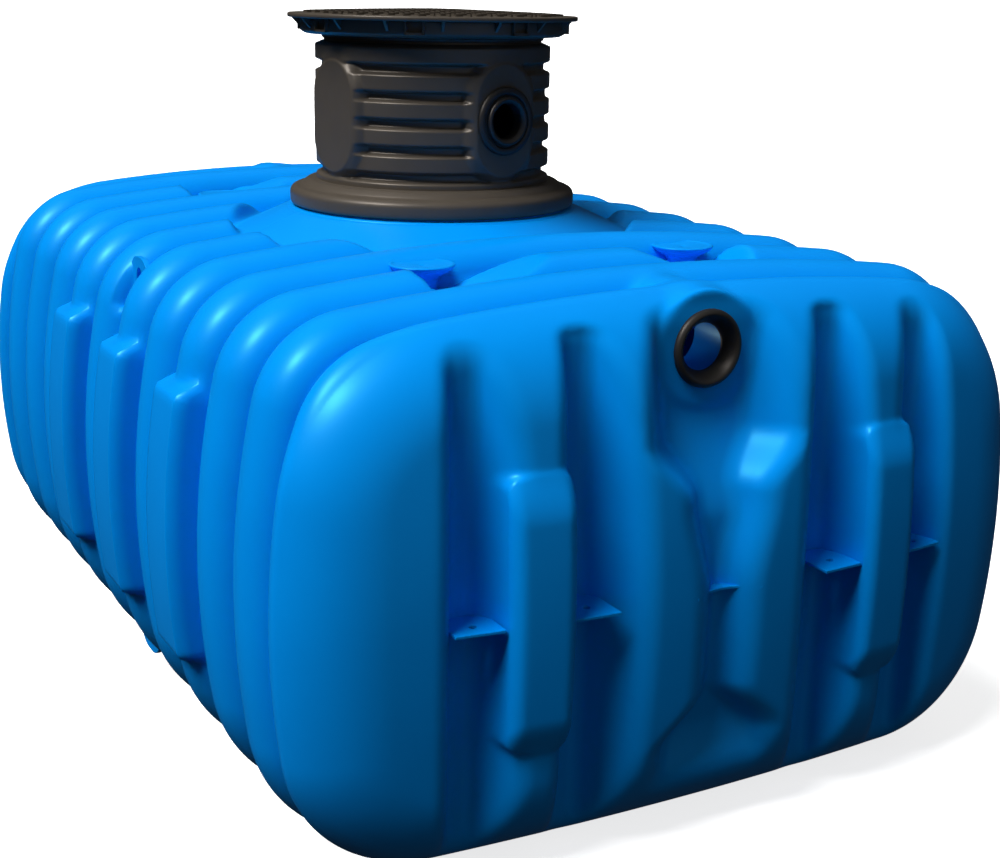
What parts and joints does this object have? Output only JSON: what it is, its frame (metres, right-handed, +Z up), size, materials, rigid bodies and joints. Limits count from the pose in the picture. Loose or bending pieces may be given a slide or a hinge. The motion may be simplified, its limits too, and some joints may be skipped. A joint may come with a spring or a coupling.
{
  "type": "underground rainwater tank",
  "caption": "Ribbed flat underground rainwater tank in moulded plastic with bulged ends, pipe inlets and a corrugated access shaft under a round lid.",
  "frame": {"origin": "on the ground, under the middle of the tank", "axes": "+Z up, +Y along the tank, towards the end farther from the shaft's pipe seal, +X across it"},
  "size_m": [2.028, 2.9994, 1.782],
  "materials": {
    "tank": "satin",
    "shaft": "satin",
    "seal": "matte"
  },
  "bodies": {
    "root": {"left_wall": "tank", "right_wall": "tank", "floor": "tank", "front_roof": "tank", "rear_roof": "tank", "front_upper_flanks": "tank", "front_upper_shoulders": "tank", "front_lower_flanks": "tank", "front_lower_shoulders": "tank", "rear_upper_flanks": "tank", "rear_upper_shoulders": "tank", "rear_lower_flanks": "tank", "rear_lower_shoulders": "tank", "front_end_middle": "tank", "front_end_sides": "tank", "front_rim_corners": "tank", "front_rim": "tank", "front_inlet_socket": "tank", "front_tie_plates": "tank", "front_support_pads": "tank", "front_inlet_saddle": "tank", "rear_end_middle": "tank", "rear_end_sides": "tank", "rear_rim_corners": "tank", "rear_rim": "tank", "rear_inlet_socket": "tank", "rear_tie_plates": "tank", "rear_support_pads": "tank", "rear_inlet_saddle": "tank", "left_blocks": "tank", "right_blocks": "tank", "left_lifting_lugs": "tank", "right_lifting_lugs": "tank", "neck": "tank", "shaft_flange": "shaft", "shaft_wall": "shaft", "shaft_socket": "shaft", "shaft_flats": "shaft", "lid_skirt": "shaft", "lid_plate": "shaft", "lip_seals": "seal"}
  },
  "joints": []
}
